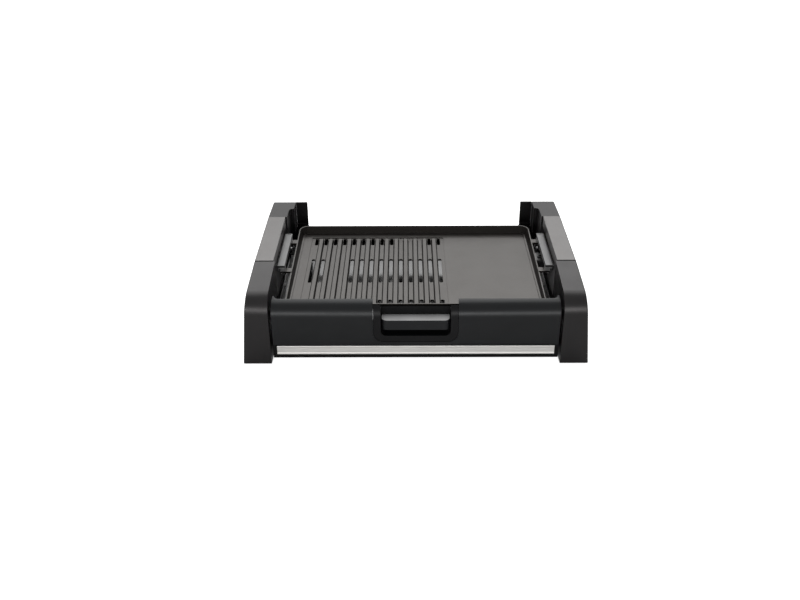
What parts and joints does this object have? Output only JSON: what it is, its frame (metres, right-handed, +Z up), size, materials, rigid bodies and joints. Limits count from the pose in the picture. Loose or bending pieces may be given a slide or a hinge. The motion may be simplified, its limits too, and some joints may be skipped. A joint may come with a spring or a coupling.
{
  "type": "electric grill",
  "caption": "Tabletop electric grill: side casings with handles, a pull-out drip-tray drawer with a grip in its front, and a lift-off ribbed plate with a heating element.",
  "frame": {"origin": "on the table plane, at the middle of the outline", "axes": "+X to the right, -Y to the front with the drawer, +Z up"},
  "size_m": [0.5, 0.334, 0.1155],
  "materials": {
    "casing_plastic": "satin, fine moulded grain",
    "handle_plastic": "satin, fine moulded grain",
    "drawer_plastic": "satin with a soft sheen",
    "grip_plastic": "satin",
    "foot_rubber": "matt",
    "sheet_steel": "zinc plated sheet",
    "pan_paint": "black enamel, matt",
    "brushed_trim": "brushed along its length, rolled bright edges",
    "tray_enamel": "glossy dark enamel",
    "surround_plastic": "matt black",
    "frame_plastic": "matt black",
    "silver_inlay": "satin silver paint",
    "plate_coating": "non-stick coating, fine speckle",
    "element_steel": "heat darkened",
    "contact_steel": "bright drawn",
    "screw_steel": "zinc plated"
  },
  "bodies": {
    "base": {"right_side_casing": "casing_plastic", "left_side_casing": "casing_plastic", "right_handle": "handle_plastic", "left_handle": "handle_plastic", "handle_screws": "screw_steel", "right_casing_base": "casing_plastic", "left_casing_base": "casing_plastic", "casing_base_screws": "screw_steel", "rubber_feet": "foot_rubber", "base_pan": "pan_paint", "right_drawer_runner": "sheet_steel", "left_drawer_runner": "sheet_steel", "side_screws": "screw_steel", "right_front_plate_support": "pan_paint", "left_front_plate_support": "pan_paint", "right_rear_plate_support": "pan_paint", "left_rear_plate_support": "pan_paint", "support_screws": "screw_steel", "rear_panel": "casing_plastic", "rear_panel_screws": "screw_steel"},
    "drawer": {"drawer_front_panel": "drawer_plastic", "panel_screws": "screw_steel", "steel_trim_strip": "brushed_trim", "drawer_frame": "frame_plastic", "drip_tray": "tray_enamel", "handle_surround": "surround_plastic", "surround_screws": "screw_steel", "drawer_grip": "drawer_plastic", "grip_inlay": "silver_inlay", "grip_screws": "screw_steel"},
    "plate": {"grill_plate": "plate_coating", "heating_element": "element_steel", "element_clamps": "element_steel", "clamp_screws": "screw_steel", "terminal_shroud": "grip_plastic", "shroud_screws": "screw_steel", "terminal_pins": "contact_steel", "probe_tube": "contact_steel", "right_grip_bracket": "sheet_steel", "left_grip_bracket": "sheet_steel", "right_plate_grip": "grip_plastic", "left_plate_grip": "grip_plastic", "plate_grip_screws": "screw_steel"}
  },
  "joints": [
    {"name": "drawer_slide", "type": "slide", "parent": "base", "child": "drawer", "axis": [0, -1, 0], "range_m": [0, 0.24]},
    {"name": "plate_lift", "type": "slide", "parent": "base", "child": "plate", "axis": [0, 0, 1], "range_m": [0, 0.08]}
  ]
}
